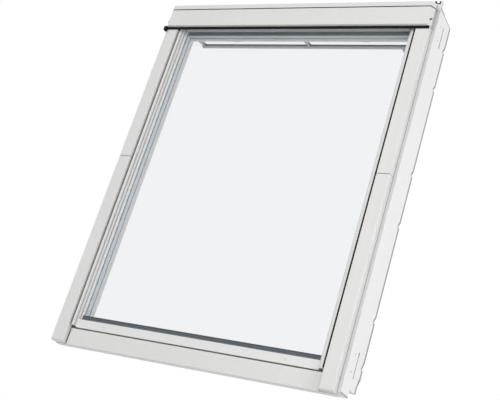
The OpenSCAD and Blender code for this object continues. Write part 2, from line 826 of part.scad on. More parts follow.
// hinge shoe: plate on the stile with a short curved lug that runs in the track
module hinge_shoe() {
  plate_x = sash_x + sash_plate_t;
  difference() {
    union() {
      box(sash_x, plate_x, sash_front + 1, shoe_back, shoe_bot, shoe_top);
      intersection() {
        difference() {
          rod_x(sash_x, plate_x, 0, 0, track_r + track_w / 2 + shoe_rim);
          rod_x(sash_x - 1, plate_x + 1, 0, 0, track_r - track_w / 2 - shoe_rim);
        }
        box(sash_x - 1, half_w, shoe_front, sash_front + 14, 0, shoe_top);
      }
      intersection() {
        difference() {
          rod_x(sash_x, lug_x, 0, 0, lug_r1);
          rod_x(sash_x - 1, lug_x + 1, 0, 0, lug_r0);
        }
        box(sash_x - 1, half_w, shoe_front, shoe_front + 10, 0, shoe_top);
      }
    }
    for (z = shoe_screws) {
      rod_x(sash_x - 1, plate_x + 1, shoe_screw_y, z, shoe_screw_r + fit);
      rod_x(sash_x + 1, plate_x + 1, shoe_screw_y, z, shoe_head_r + fit);
    }
  }
}

module hinge_shoe_right() {
  color("#b9bcbf") hinge_shoe();
}

module hinge_shoe_left() {
  color("#b9bcbf") flip() hinge_shoe();
}

module hinge_shoe_screws() {
  color("#c9cacc") for (m = [0, 1], z = shoe_screws) mirror([m, 0, 0]) {
    rod_x(sash_x + 1, sash_x + sash_plate_t, shoe_screw_y, z, shoe_head_r);
    rod_x(sash_x - 10, sash_x + 2, shoe_screw_y, z, shoe_screw_r);
  }
}

// clip on the top rail that carries the flap's round edge
module flap_clip() {
  difference() {
    box(clip_x - clip_w / 2, clip_x + clip_w / 2, sash_back, flap_y + flap_rod / 2 + 3,
      flap_z - flap_rod / 2 - 3, flap_z + flap_rod / 2 + 3);
    rod_x(clip_x - clip_w, clip_x + clip_w, flap_y, flap_z, flap_rod / 2 + fit);
  }
}

module flap_clip_right() {
  color("#d9d9d6") flap_clip();
}

module flap_clip_left() {
  color("#d9d9d6") flip() flap_clip();
}

// vent flap: plate along the top rail with a round lower edge, notched at the clips
module vent_flap() {
  color("#ecece8") difference() {
    union() {
      box(-flap_x, flap_x, flap_y - flap_t / 2, flap_y + flap_t / 2, flap_z, flap_top);
      rod_x(-flap_x, flap_x, flap_y, flap_z, flap_rod / 2);
    }
    for (s = [-1, 1]) difference() {
      box(s * clip_x - clip_w / 2 - 1, s * clip_x + clip_w / 2 + 1, sash_back, flap_y + 20,
        flap_z - 12, flap_z + flap_rod / 2 + 10);
      rod_x(s * clip_x - clip_w, s * clip_x + clip_w, flap_y, flap_z, flap_rod / 2);
    }
  }
}

module flap_gasket() {
  color("#26272a") box(-sight_x + 20, sight_x - 20, sash_back + 0.4, flap_y - flap_t / 2,
    flap_top - 9, flap_top - 3);
}

module bar_arm(x) {
  arm_y = flap_y + flap_t / 2;
  along_x(x - arm_w / 2, x + arm_w / 2) {
    polygon([[arm_y, arm_z0], [bar_front, bar_bot + 0.5], [bar_front, bar_top - 1],
      [arm_y, arm_z1]]);
    rect(arm_y, arm_y + 3, flap_z + flap_rod / 2 + 2, arm_z1);
  }
}

module bar_arm_left() {
  color("#dcdcda") bar_arm(-bar_x + cap_l + arm_w / 2);
}

module bar_arm_centre() {
  color("#dcdcda") bar_arm(0);
}

module bar_arm_right() {
  color("#dcdcda") bar_arm(bar_x - cap_l - arm_w / 2);
}

module bar_2d() {
  rect(bar_front + bar_r, bar_back - bar_r, bar_bot, bar_top);
  rect(bar_front, bar_back, bar_bot + bar_r, bar_top - bar_r);
  for (y = [bar_front + bar_r, bar_back - bar_r], z = [bar_bot + bar_r, bar_top - bar_r])
    translate([y, z]) circle(bar_r);
}

module control_bar() {
  color("#dcdcda") along_x(-bar_x + cap_l, bar_x - cap_l) bar_2d();
}

module bar_cap_right() {
  color("#9da1a5") along_x(bar_x - cap_l, bar_x) bar_2d();
}

module bar_cap_left() {
  color("#9da1a5") along_x(-bar_x, -bar_x + cap_l) bar_2d();
}

module latch_tongue() {
  color("#b9bcbf") box(-tongue_w / 2, tongue_w / 2, tongue_y0, tongue_y0 + tongue_t, tongue_bot,
    tongue_top);
}

// housing of the sliding bolt on the right stile
module bolt_housing() {
  color("#d9d9d6") difference() {
    box(sight_x + 4, sash_x - 2, sash_back, bolt_y + bolt_r + 3, bolt_z - bolt_r - 4,
      bolt_z + bolt_r + 4);
    rod_x(sight_x, sash_x + 1, bolt_y, bolt_z, bolt_r + fit);
  }
}

module barrel_bolt() {
  color("#b9bcbf") union() {
    rod_x(sight_x - 20, bolt_tip, bolt_y, bolt_z, bolt_r);
    rod_x(sight_x - 26, sight_x - 16, bolt_y, bolt_z, bolt_r + 2);
  }
}

frame_jamb_left();
frame_jamb_right();
frame_head();
frame_sill();
hinge_track_left();
hinge_track_right();
hinge_track_screws();
upper_cover_left();
upper_cover_right();
upper_cover_screws();
hood();
hood_cap();
hood_gasket();
hood_screws();
corner_posts();
notch_gaskets();
sill_cover();
sill_cover_screws();
sill_end_seals();
striker_plate();
bolt_bush_upper();
bolt_bush_lower();
sash_stile_left();
sash_stile_right();
sash_top_rail();
sash_bottom_rail();
outer_pane();
inner_pane();
spacer_bar();
edge_seal();
glazing_tape();
glazing_gasket();
sill_strip_gasket();
glazing_cover_left();
glazing_cover_right();
glazing_cover_top();
glazing_cover_bottom();
glazing_cover_screws();
lower_cover_left();
lower_cover_right();
lower_cover_screws();
sash_gasket_left();
sash_gasket_right();
hinge_shoe_left();
hinge_shoe_right();
hinge_shoe_screws();
flap_clip_left();
flap_clip_right();
bolt_housing();
vent_flap();
flap_gasket();
bar_arm_left();
bar_arm_centre();
bar_arm_right();
control_bar();
bar_cap_left();
bar_cap_right();
latch_tongue();
barrel_bolt();
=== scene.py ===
import math

import bmesh
import bpy
from mathutils import Matrix, Vector


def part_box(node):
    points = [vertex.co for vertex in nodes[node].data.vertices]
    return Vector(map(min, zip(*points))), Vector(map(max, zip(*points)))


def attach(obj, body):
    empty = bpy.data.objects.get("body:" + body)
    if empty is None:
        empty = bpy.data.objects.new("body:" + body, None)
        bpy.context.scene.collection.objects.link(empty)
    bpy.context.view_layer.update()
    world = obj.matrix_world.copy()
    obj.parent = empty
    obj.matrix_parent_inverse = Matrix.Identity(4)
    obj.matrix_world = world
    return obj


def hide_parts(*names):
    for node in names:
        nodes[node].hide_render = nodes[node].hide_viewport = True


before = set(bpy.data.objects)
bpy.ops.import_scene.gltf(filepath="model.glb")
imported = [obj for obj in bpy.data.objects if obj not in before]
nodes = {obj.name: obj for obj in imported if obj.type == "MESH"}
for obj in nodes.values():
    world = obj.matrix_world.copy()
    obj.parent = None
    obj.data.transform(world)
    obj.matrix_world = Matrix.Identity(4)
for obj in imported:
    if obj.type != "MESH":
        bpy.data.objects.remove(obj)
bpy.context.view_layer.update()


# Jambs, head and sill are moulded in white round a core and butt at the corners.
# The skin is satin with a fine even grain. Painted shade makes it greyer on the rear arrises,
# at the sawn ends, on the ledges beside the covers, and in narrow slots.
def linear(code):
    """An sRGB hex colour as linear RGBA."""
    parts = [int(code[i:i + 2], 16) / 255 for i in (1, 3, 5)]
    return [c / 12.92 if c <= 0.04045 else ((c + 0.055) / 1.055) ** 2.4 for c in parts] + [1.0]


def add(tree, kind, inputs=(), **settings):
    """One node. Settings are properties or sockets by name, and inputs are links or values."""
    made = tree.nodes.new(kind)
    for key, value in settings.items():
        if hasattr(made, key):
            setattr(made, key, value)
        else:
            made.inputs[key.replace("_", " ")].default_value = value
    for key, source in inputs:
        if isinstance(source, bpy.types.NodeSocket):
            tree.links.new(source, made.inputs[key])
        else:
            made.inputs[key].default_value = source
    return made


def new_material(name):
    """An empty material and its node tree."""
    made = bpy.data.materials.new(name)
    made.use_nodes = True
    made.node_tree.nodes.clear()
    return made, made.node_tree


def paint(material, *names):
    """Gives CAD nodes this material alone."""
    for name in names:
        slots = nodes[name].data.materials
        slots.clear()
        slots.append(material)


white, tree = new_material("white_moulded_skin")
place = add(tree, "ShaderNodeTexCoord")
# clouds of about 110 mm, as the skin cools unevenly in its mould
cloud = add(tree, "ShaderNodeTexNoise", [("Vector", place.outputs["Object"])],
            Scale=9.0, Detail=3.0)
body = add(tree, "ShaderNodeMix", [("Factor", cloud.outputs["Fac"])], data_type="RGBA",
           A=linear("#E2E2E2"), B=linear("#E8E8E8"))
spot = add(tree, "ShaderNodeSeparateXYZ", [("Vector", place.outputs["Object"])])
out = add(tree, "ShaderNodeMath", [(0, spot.outputs["X"])], operation="ABSOLUTE")
facing = add(tree, "ShaderNodeNewGeometry")
turned = add(tree, "ShaderNodeSeparateXYZ", [("Vector", facing.outputs["Normal"])])
sideways = add(tree, "ShaderNodeMath", [(0, turned.outputs["X"])], operation="ABSOLUTE")
# painted shade along the rear edge of the sides, drawn in where the arris is cut back: at the
# foot, and at each notch, which slopes out again over 15 mm
trim_from, trim_to, cut_back = 0.0965, 0.0990, 0.0075
foot_z, head_z = (corner[2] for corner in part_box("frame_jamb_right"))
jamb_h = head_z - foot_z
foot_cut, foot_slope_end = foot_z + 0.037, foot_z + 0.056
notch_heights = (-0.4335, -0.3235, -0.0875, 0.0465, 0.2825, 0.3925)
notch_lead, notch_slope = 0.003, 0.015
height = add(tree, "ShaderNodeMapRange", [("Value", spot.outputs["Z"])],
             From_Min=foot_z, From_Max=head_z)
cuts = add(tree, "ShaderNodeValToRGB", [("Fac", height.outputs["Result"])])
stops = [(foot_z, 1), (foot_cut, 1), (foot_slope_end, 0)]
for notch in notch_heights:
    stops += [(notch - notch_lead, 0), (notch, 1), (notch + notch_slope, 0)]
for stop, value in stops:
    mark = cuts.color_ramp.elements.new((stop - foot_z) / jamb_h)
    mark.color = (value, value, value, 1)
for first_or_last, value in ((0, 1), (-1, 0)):
    cuts.color_ramp.elements[first_or_last].color = (value, value, value, 1)
drawn_in = add(tree, "ShaderNodeMath", [(0, cuts.outputs["Color"]), (1, cut_back),
                                        (2, spot.outputs["Y"])], operation="MULTIPLY_ADD")
rear = add(tree, "ShaderNodeMapRange", [("Value", drawn_in.outputs["Value"])],
           From_Min=trim_from, From_Max=trim_to)
# and painted shade on the last 3 mm before the sawn ends
sawn_from, sawn_to = jamb_h / 2 - 0.0035, jamb_h / 2 - 0.0020
from_middle = add(tree, "ShaderNodeMath", [(0, spot.outputs["Z"]), (1, (foot_z + head_z) / 2)],
                  operation="SUBTRACT")
either_way = add(tree, "ShaderNodeMath", [(0, from_middle.outputs["Value"])],
                 operation="ABSOLUTE")
sawn = add(tree, "ShaderNodeMapRange", [("Value", either_way.outputs["Value"])],
           From_Min=sawn_from, From_Max=sawn_to)
cut_edges = add(tree, "ShaderNodeMath", [(0, rear.outputs["Result"]),
                                         (1, sawn.outputs["Result"])], operation="MAXIMUM")
edge_shade = add(tree, "ShaderNodeMath", [(0, cut_edges.outputs["Value"]),
                                       (1, sideways.outputs["Value"])], operation="MULTIPLY")
# painted shade cast by the covers on the ledge beside them, darkest in the first 2 mm along their
# foot
cover_foot, ledge_shade_end, ledge_shade_most, ledge_shade_left = 0.3806, 0.3830, 0.9, 0.1
outward = add(tree, "ShaderNodeMapRange", [("Value", turned.outputs["Y"])],
              From_Min=-0.9, From_Max=-0.5, To_Min=1.0, To_Max=0.0)
foot = add(tree, "ShaderNodeMapRange", [("Value", out.outputs["Value"])],
           From_Min=cover_foot, From_Max=ledge_shade_end, To_Min=ledge_shade_most, To_Max=ledge_shade_left)
ledge_shade = add(tree, "ShaderNodeMath", [(0, outward.outputs["Result"]),
                                     (1, foot.outputs["Result"])], operation="MULTIPLY")
# painted shade: the rear edges, sawn ends and ledge are mixed towards grey
painted_shade = add(tree, "ShaderNodeMath", [(0, edge_shade.outputs["Value"]),
                                      (1, ledge_shade.outputs["Value"])], operation="MAXIMUM")
shaded_body = add(tree, "ShaderNodeMix", [("Factor", painted_shade.outputs["Value"]),
                                     ("A", body.outputs["Result"])],
             data_type="RGBA", B=linear("#858687"))
# painted shade in bracket slits and screw holes, a few millimetres wide, found by occlusion
depth = add(tree, "ShaderNodeAmbientOcclusion", only_local=True, samples=8, Distance=0.010)
narrow = add(tree, "ShaderNodeMapRange", [("Value", depth.outputs["AO"])],
             From_Min=0.22, From_Max=0.42, To_Min=1.0, To_Max=0.0)
slits_shaded = add(tree, "ShaderNodeMix", [("Factor", narrow.outputs["Result"]),
                                      ("A", shaded_body.outputs["Result"])],
              data_type="RGBA", B=linear("#343536"))
# grain of about 1 mm from the mould's surface
grain = add(tree, "ShaderNodeTexNoise", [("Vector", place.outputs["Object"])],
            Scale=900.0, Detail=2.0)
bump = add(tree, "ShaderNodeBump", [("Height", grain.outputs["Fac"])],
           Strength=0.08, Distance=0.0003)
skin = add(tree, "ShaderNodeBsdfPrincipled", [("Base Color", slits_shaded.outputs["Result"]),
                                              ("Normal", bump.outputs["Normal"])], Roughness=0.42)
add(tree, "ShaderNodeOutputMaterial", [("Surface", skin.outputs["BSDF"])])
paint(white, "frame_jamb_left", "frame_jamb_right", "frame_head", "frame_sill")

# The outside is dressed in folded aluminium sheet: side covers, hood, cap strip, corner posts
# and sill cover. It is powder coated off-white, with faint orange peel and rain streaks.
lacquer, tree = new_material("off_white_powder_coat_on_aluminium")
place = add(tree, "ShaderNodeTexCoord")
# clouds of about 200 mm
cloud = add(tree, "ShaderNodeTexNoise", [("Vector", place.outputs["Object"])],
            Scale=5.0, Detail=2.0)
# streaks about 15 mm apart and half a metre long, down the slope
fall = add(tree, "ShaderNodeMapping", [("Vector", place.outputs["Object"]),
                                       ("Scale", (66.0, 66.0, 2.0))])
streak = add(tree, "ShaderNodeTexNoise", [("Vector", fall.outputs["Vector"])],
             Scale=1.0, Detail=2.0)
weather = add(tree, "ShaderNodeMath", [(0, cloud.outputs["Fac"]), (1, streak.outputs["Fac"])],
              operation="MULTIPLY")
coat_tone = add(tree, "ShaderNodeMix", [("Factor", weather.outputs["Value"])], data_type="RGBA",
                A=linear("#DADAD9"), B=linear("#E6E6E5"))
# orange peel of about 3 mm
peel = add(tree, "ShaderNodeTexNoise", [("Vector", place.outputs["Object"])],
           Scale=350.0, Detail=1.0)
bump = add(tree, "ShaderNodeBump", [("Height", peel.outputs["Fac"])],
           Strength=0.05, Distance=0.0004)
sheen = add(tree, "ShaderNodeMapRange", [("Value", streak.outputs["Fac"])],
            To_Min=0.32, To_Max=0.42)
# painted shade within 3 mm of an inner fold, found by occlusion
fold = add(tree, "ShaderNodeAmbientOcclusion", only_local=True, samples=8, Distance=0.003)
fold_shade = add(tree, "ShaderNodeMapRange", [("Value", fold.outputs["AO"])],
           From_Min=0.3, From_Max=0.8, To_Min=0.7, To_Max=0.0)
fold_shaded = add(tree, "ShaderNodeMix", [("Factor", fold_shade.outputs["Result"]),
                                     ("A", coat_tone.outputs["Result"])],
             data_type="RGBA", B=linear("#7E7F80"))
# painted shade on the end faces of hood and cap, 383 mm out, which are painted greyer
end_from, end_to, end_shade_most = 0.3815, 0.3822, 0.8
spot = add(tree, "ShaderNodeSeparateXYZ", [("Vector", place.outputs["Object"])])
out = add(tree, "ShaderNodeMath", [(0, spot.outputs["X"])], operation="ABSOLUTE")
at_end = add(tree, "ShaderNodeMapRange", [("Value", out.outputs["Value"])],
             From_Min=end_from, From_Max=end_to)
facing = add(tree, "ShaderNodeNewGeometry")
turned = add(tree, "ShaderNodeSeparateXYZ", [("Vector", facing.outputs["Normal"])])
sideways = add(tree, "ShaderNodeMath", [(0, turned.outputs["X"])], operation="ABSOLUTE")
end_on = add(tree, "ShaderNodeMapRange", [("Value", sideways.outputs["Value"])],
             From_Min=0.85, From_Max=0.95, To_Min=0.0, To_Max=end_shade_most)
end_face_shade = add(tree, "ShaderNodeMath", [(0, at_end.outputs["Result"]),
                                       (1, end_on.outputs["Result"])], operation="MULTIPLY")
end_shaded = add(tree, "ShaderNodeMix", [("Factor", end_face_shade.outputs["Value"]),
                                    ("A", fold_shaded.outputs["Result"])],
            data_type="RGBA", B=linear("#9C9D9D"))
# painted shade on the underside of the cover over the glass, 402 mm up and behind the front
shade_y, shade_y_full, shade_z, shade_z_full = 0.005, 0.008, 0.4020, 0.4035
downward = add(tree, "ShaderNodeMapRange", [("Value", turned.outputs["Z"])],
               From_Min=-0.95, From_Max=-0.85, To_Min=1.0, To_Max=0.0)
behind = add(tree, "ShaderNodeMapRange", [("Value", spot.outputs["Y"])],
             From_Min=shade_y, From_Max=shade_y_full)
aloft = add(tree, "ShaderNodeMapRange", [("Value", spot.outputs["Z"])],
            From_Min=shade_z, From_Max=shade_z_full)
under = add(tree, "ShaderNodeMath", [(0, downward.outputs["Result"]),
                                     (1, behind.outputs["Result"])], operation="MULTIPLY")
under_shade = add(tree, "ShaderNodeMath", [(0, under.outputs["Value"]), (1, aloft.outputs["Result"])],
           operation="MULTIPLY")
under_shaded = add(tree, "ShaderNodeMix", [("Factor", under_shade.outputs["Value"]),
                                    ("A", end_shaded.outputs["Result"])],
            data_type="RGBA", B=linear("#A9AAAB"))
coat = add(tree, "ShaderNodeBsdfPrincipled", [("Base Color", under_shaded.outputs["Result"]),
                                              ("Roughness", sheen.outputs["Result"]),
                                              ("Normal", bump.outputs["Normal"])])
add(tree, "ShaderNodeOutputMaterial", [("Surface", coat.outputs["BSDF"])])
paint(lacquer, "upper_cover_left", "upper_cover_right", "lower_cover_left", "lower_cover_right",
      "hood", "hood_cap", "corner_posts", "sill_cover")

# Slotted screws hold the hood's bevelled ends. They are coated with it after fixing,
# and painted shade darkens the driver's slot.
capped, tree = new_material("powder_coated_screw_with_painted_slot_shade")
place = add(tree, "ShaderNodeTexCoord")
# the sheet's orange peel, about 3 mm
peel = add(tree, "ShaderNodeTexNoise", [("Vector", place.outputs["Object"])],
           Scale=350.0, Detail=1.0)
film = add(tree, "ShaderNodeMix", [("Factor", peel.outputs["Fac"])], data_type="RGBA",
           A=linear("#D8D8D7"), B=linear("#E4E4E3"))
# painted shade: occlusion darkens the slot's recess
sunk = add(tree, "ShaderNodeAmbientOcclusion", only_local=True, samples=8, Distance=0.004)
recess_shade = add(tree, "ShaderNodeMapRange", [("Value", sunk.outputs["AO"])],
           From_Min=0.55, From_Max=0.92, To_Min=1.0, To_Max=0.0)
# painted shade also within 2 mm of the slot's plane, which is mirrored left and right
slot_normal, slot_offset, slot_shade_from, slot_shade_to = (0.39, 0.51, -0.77), 0.17779, 0.0016, 0.0021
spot = add(tree, "ShaderNodeSeparateXYZ", [("Vector", place.outputs["Object"])])
out = add(tree, "ShaderNodeMath", [(0, spot.outputs["X"])], operation="ABSOLUTE")
mirrored = add(tree, "ShaderNodeCombineXYZ", [("X", out.outputs["Value"]),
                                              ("Y", spot.outputs["Y"]), ("Z", spot.outputs["Z"])])
along = add(tree, "ShaderNodeVectorMath", [(0, mirrored.outputs["Vector"]), (1, slot_normal)],
            operation="DOT_PRODUCT")
off_plane = add(tree, "ShaderNodeMath", [(0, along.outputs["Value"]), (1, slot_offset)],
                operation="ADD")
away = add(tree, "ShaderNodeMath", [(0, off_plane.outputs["Value"])], operation="ABSOLUTE")
beside = add(tree, "ShaderNodeMapRange", [("Value", away.outputs["Value"])],
             From_Min=slot_shade_from, From_Max=slot_shade_to, To_Min=1.0, To_Max=0.0)
screw_slot_shade = add(tree, "ShaderNodeMath", [(0, recess_shade.outputs["Result"]), (1, beside.outputs["Result"])],
            operation="MAXIMUM")
screw_slot_shaded = add(tree, "ShaderNodeMix", [("Factor", screw_slot_shade.outputs["Value"]),
                                     ("A", film.outputs["Result"])],
             data_type="RGBA", B=linear("#1E1F20"))
cap = add(tree, "ShaderNodeBsdfPrincipled", [("Base Color", screw_slot_shaded.outputs["Result"])],
          Roughness=0.4)
add(tree, "ShaderNodeOutputMaterial", [("Surface", cap.outputs["BSDF"])])
paint(capped, "hood_screws")

# Gaskets and end seals are black rubber, extruded and pushed into place.
# The rubber is dull, a little grey with talc.
rubber, tree = new_material("black_extruded_rubber")
place = add(tree, "ShaderNodeTexCoord")
# patches of talc of about 17 mm
talc = add(tree, "ShaderNodeTexNoise", [("Vector", place.outputs["Object"])],
           Scale=60.0, Detail=4.0)
bloom = add(tree, "ShaderNodeMix", [("Factor", talc.outputs["Fac"])], data_type="RGBA",
            A=linear("#0D0E0F"), B=linear("#191A1C"))
# marks of the die, just under 1 mm
die_marks = add(tree, "ShaderNodeTexNoise", [("Vector", place.outputs["Object"])], Scale=1200.0)
bump = add(tree, "ShaderNodeBump", [("Height", die_marks.outputs["Fac"])],
           Strength=0.1, Distance=0.0002)
dull = add(tree, "ShaderNodeBsdfPrincipled", [("Base Color", bloom.outputs["Result"]),
                                              ("Normal", bump.outputs["Normal"])],
           Roughness=0.8, Specular_IOR_Level=0.25)
add(tree, "ShaderNodeOutputMaterial", [("Surface", dull.outputs["BSDF"])])
paint(rubber, "hood_gasket", "notch_gaskets", "sill_end_seals", "sash_gasket_left",
      "sash_gasket_right", "flap_gasket")


# The hood gasket ends on the left in a moulded rubber lug, glued to it over the side cover's
# top. The lug has a half-round foot and a softened front rim.
def placed(name, data):
    """A new object at the origin with this mesh, light or camera."""
    made = bpy.data.objects.new(name, data)
    bpy.context.scene.collection.objects.link(made)
    return made


def meshed(name, shape):
    """The mesh of a finished bmesh, which is then freed."""
    mesh = bpy.data.meshes.new(name)
    shape.to_mesh(mesh)
    shape.free()
    return mesh


lug_left, lug_right, lug_top, lug_foot = -0.3852, -0.3772, 0.4036, 0.3895
lug_front, lug_back, rim_round = -0.0086, -0.0002, 0.0012
foot_arcs = 8
lug_middle, lug_half = (lug_left + lug_right) / 2, (lug_right - lug_left) / 2
outline = [(lug_right, lug_top), (lug_left, lug_top)]
for k in range(foot_arcs + 1):
    swing = math.pi * k / foot_arcs
    outline.append((lug_middle - lug_half * math.cos(swing),
                    lug_foot + lug_half - lug_half * math.sin(swing)))
shape = bmesh.new()
face = shape.faces.new([shape.verts.new((x, lug_front, z)) for x, z in outline])
for pulled in bmesh.ops.extrude_face_region(shape, geom=[face])["geom"]:
    if isinstance(pulled, bmesh.types.BMVert):
        pulled.co.y = lug_back
bmesh.ops.recalc_face_normals(shape, faces=shape.faces)
lug_centre_y = (lug_front + lug_back) / 2
front_rim = [e for e in shape.edges if all(v.co.y < lug_centre_y for v in e.verts)]
bmesh.ops.bevel(shape, geom=front_rim, offset=rim_round, segments=3, profile=0.5, affect="EDGES")
lug = placed("gasket_end_lug", meshed("gasket_end_lug", shape))
lug.data.materials.append(rubber)
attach(lug, "frame")

# Stiles and rails of the sash are moulded like the frame and screwed at the corners.
# They share the frame's satin white skin.
paint(white, "sash_stile_left", "sash_stile_right", "sash_top_rail", "sash_bottom_rail")

# Two panes of float glass make the sealed unit. The edges sit in the sash on tape.
# Glass takes a little from each colour and mirrors more at a low angle. The inner pane has
# a heat-keeping coating that leaves a trace of blue.
for name, colour, pane in (("clear_float_glass", "#FCFCFC", "outer_pane"),
                           ("coated_float_glass", "#FBFCFD", "inner_pane")):
    glass, tree = new_material(name)
    bend = add(tree, "ShaderNodeFresnel", IOR=1.45)
    side = add(tree, "ShaderNodeNewGeometry")
    front = add(tree, "ShaderNodeMath", [(0, side.outputs["Backfacing"]), (1, 0.5)],
                operation="LESS_THAN")
    gleam = add(tree, "ShaderNodeMath", [(0, bend.outputs["Fac"]), (1, front.outputs["Value"])],
                operation="MULTIPLY")
    through = add(tree, "ShaderNodeBsdfTransparent", Color=linear(colour))
    shine = add(tree, "ShaderNodeBsdfGlossy", Roughness=0.02)
    sheet = add(tree, "ShaderNodeMixShader", [("Fac", gleam.outputs["Value"]),
                                              (1, through.outputs["BSDF"]),
                                              (2, shine.outputs["BSDF"])])
    add(tree, "ShaderNodeOutputMaterial", [("Surface", sheet.outputs["Shader"])])
    paint(glass, pane)

# The spacer bar is a hollow roll-formed aluminium bar, coated pale grey, all round the unit.
# It keeps the panes apart and holds the drying agent.
spacer, tree = new_material("grey_coated_aluminium_spacer")
place = add(tree, "ShaderNodeTexCoord")
# uneven coating, in patches of about 8 mm
roll = add(tree, "ShaderNodeTexNoise", [("Vector", place.outputs["Object"])], Scale=120.0)
coating = add(tree, "ShaderNodeMix", [("Factor", roll.outputs["Fac"])], data_type="RGBA",
              A=linear("#CCD1D6"), B=linear("#D3D8DC"))
bar_face = add(tree, "ShaderNodeBsdfPrincipled", [("Base Color", coating.outputs["Result"])],
               Roughness=0.5, Metallic=0.1)
add(tree, "ShaderNodeOutputMaterial", [("Surface", bar_face.outputs["BSDF"])])
paint(spacer, "spacer_bar")

# A row of pierced slits in the spacer's inner face lets the drying agent work.
# Each is drawn as a flat dark oval 1.2 mm long, one every 12 mm, the hole's shade painted on.
slit_shade, tree = new_material("pierced_slit_painted_shade")
place = add(tree, "ShaderNodeTexCoord")
# burrs of about half a millimetre
burr = add(tree, "ShaderNodeTexNoise", [("Vector", place.outputs["Object"])], Scale=2000.0)
hollow = add(tree, "ShaderNodeMix", [("Factor", burr.outputs["Fac"])], data_type="RGBA",
             A=linear("#6B7073"), B=linear("#7E8386"))
shadow = add(tree, "ShaderNodeBsdfPrincipled", [("Base Color", hollow.outputs["Result"])],
             Roughness=0.7)
add(tree, "ShaderNodeOutputMaterial", [("Surface", shadow.outputs["BSDF"])])

bar_width, slit_off, slit_pitch, slit_half, slit_stretch = 0.0065, 0.00004, 0.012, 0.00025, 2.5
quarter = math.pi / 2
low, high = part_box("spacer_bar")
left_x, right_x = low[0] + bar_width + slit_off, high[0] - bar_width - slit_off
low_z, high_z = low[2] + bar_width + slit_off, high[2] - bar_width - slit_off
middle_y = (low[1] + high[1]) / 2
rows = bpy.data.node_groups.new("slit_rows", "GeometryNodeTree")
rows.interface.new_socket("Geometry", in_out="OUTPUT", socket_type="NodeSocketGeometry")
rows.interface.new_socket("Pitch", in_out="INPUT", socket_type="NodeSocketFloat")
rows.interface.new_socket("Half Width", in_out="INPUT", socket_type="NodeSocketFloat")
sizes = add(rows, "NodeGroupInput")
slit = add(rows, "GeometryNodeMeshCircle", [("Radius", sizes.outputs["Half Width"])],
           fill_type="NGON", Vertices=10)
joined = add(rows, "GeometryNodeJoinGeometry")
for start, end, turn in (((left_x, low_z), (right_x, low_z), (0, 0, 0)),
                         ((left_x, high_z), (right_x, high_z), (2 * quarter, 0, 0)),
                         ((left_x, low_z), (left_x, high_z), (0, quarter, 0)),
                         ((right_x, low_z), (right_x, high_z), (0, -quarter, 0))):
    start, end = (Vector((x, middle_y, z)) for x, z in (start, end))
    inset = (end - start).normalized() * slit_pitch
    row = add(rows, "GeometryNodeMeshLine", [("Resolution", sizes.outputs["Pitch"]),
                                             ("Start Location", start + inset),
                                             ("Offset", end - inset)],
              mode="END_POINTS", count_mode="RESOLUTION")
    set_in = add(rows, "GeometryNodeInstanceOnPoints", [
        ("Points", row.outputs["Mesh"]), ("Instance", slit.outputs["Mesh"]),
        ("Rotation", turn), ("Scale", (slit_stretch, 1.0, 1.0))])
    rows.links.new(set_in.outputs["Instances"], joined.inputs["Geometry"])
whole = add(rows, "GeometryNodeRealizeInstances", [("Geometry", joined.outputs["Geometry"])])
dressed = add(rows, "GeometryNodeSetMaterial", [("Geometry", whole.outputs["Geometry"])],
              Material=slit_shade)
add(rows, "NodeGroupOutput", [("Geometry", dressed.outputs["Geometry"])])


def grown(name, start, tree, **values):
    """A plain mesh object from a Geometry Nodes tree run on a start mesh."""
    seed = placed(name + "_seed", start)
    made_by = seed.modifiers.new("tree", "NODES")
    made_by.node_group = tree
    for item in tree.interface.items_tree:
        if item.in_out == "INPUT" and item.name in values:
            made_by[item.identifier] = values[item.name]
    ready = seed.evaluated_get(bpy.context.evaluated_depsgraph_get())
    mesh = bpy.data.meshes.new_from_object(ready)
    seed.modifiers.remove(made_by)
    bpy.data.objects.remove(seed)
    return placed(name, mesh)


slits = grown("spacer_slits", bpy.data.meshes.new("none"), rows,
              **{"Pitch": slit_pitch, "Half Width": slit_half})
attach(slits, "sash")

# Sealing compound closes the unit outside the spacer, and a dry gasket lies under the covers.
# Both are grey, smooth where they were pressed against the pane.
seal, tree = new_material("grey_sealing_compound")
place = add(tree, "ShaderNodeTexCoord")
# smears of about 25 mm
smear = add(tree, "ShaderNodeTexNoise", [("Vector", place.outputs["Object"])],
            Scale=40.0, Detail=2.0)
pressed = add(tree, "ShaderNodeMix", [("Factor", smear.outputs["Fac"])], data_type="RGBA",
              A=linear("#858C91"), B=linear("#939A9E"))
# painted light: the side legs, from 323 mm out, are painted much paler than the top and bottom
leg_from, leg_to = 0.3225, 0.3240
spot = add(tree, "ShaderNodeSeparateXYZ", [("Vector", place.outputs["Object"])])
out = add(tree, "ShaderNodeMath", [(0, spot.outputs["X"])], operation="ABSOLUTE")
leg = add(tree, "ShaderNodeMapRange", [("Value", out.outputs["Value"])],
          From_Min=leg_from, From_Max=leg_to)
legs_lit = add(tree, "ShaderNodeMix", [("Factor", leg.outputs["Result"]),
                                       ("A", pressed.outputs["Result"])],
               data_type="RGBA", B=linear("#DCE3E7"))
smooth = add(tree, "ShaderNodeBsdfPrincipled", [("Base Color", legs_lit.outputs["Result"])],
             Roughness=0.55)
add(tree, "ShaderNodeOutputMaterial", [("Surface", smooth.outputs["BSDF"])])
paint(seal, "edge_seal", "glazing_gasket")

# The glazing tape is white closed-cell foam, stuck between the inner pane and the sash.
# It is cut from a roll, so its edges show the open cells.
foam, tree = new_material("white_closed_cell_foam")
place = add(tree, "ShaderNodeTexCoord")
